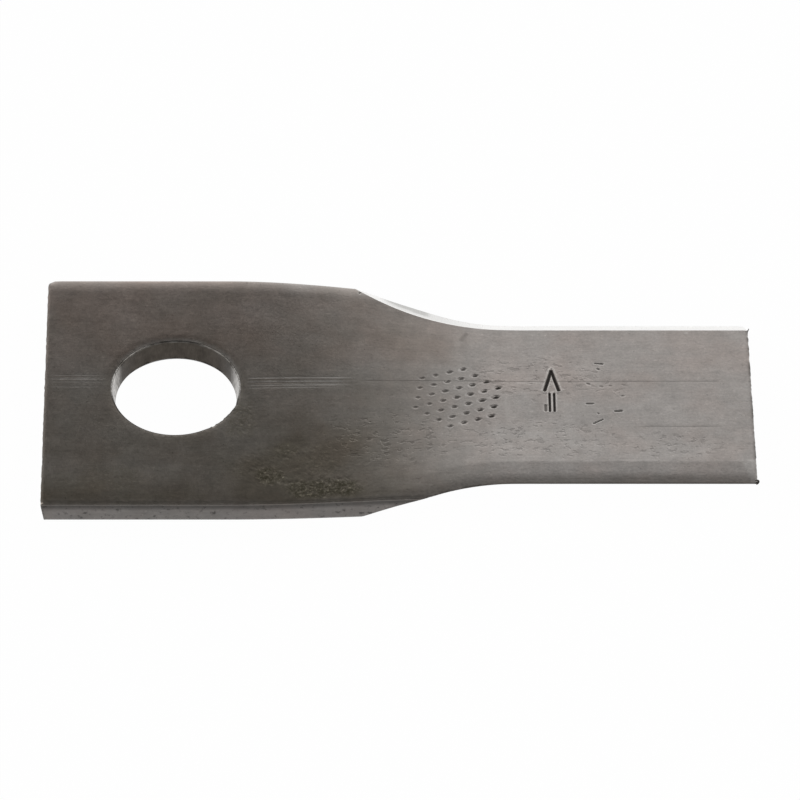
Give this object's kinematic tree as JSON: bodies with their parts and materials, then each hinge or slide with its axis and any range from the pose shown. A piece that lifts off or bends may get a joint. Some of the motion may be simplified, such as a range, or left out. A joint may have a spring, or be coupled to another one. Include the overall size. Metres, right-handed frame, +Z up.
{
  "type": "rotary mower blade",
  "caption": "Flat steel rotary mower blade with one round bolt hole, a twisted wing and ground cutting edges on both long sides.",
  "frame": {"origin": "bottom centre of the blade's box; the flat hole end lies level above it", "axes": "+X along the blade towards the wing's tip, +Y towards the leading cutting edge, +Z up out of the top face of the hole end"},
  "size_m": [0.1102, 0.048, 0.0098],
  "materials": {
    "blade_steel": "dark hot-rolled spring steel with fine rolling marks, bright ground cutting edges"
  },
  "bodies": {
    "root": {"blade": "blade_steel"}
  },
  "joints": []
}
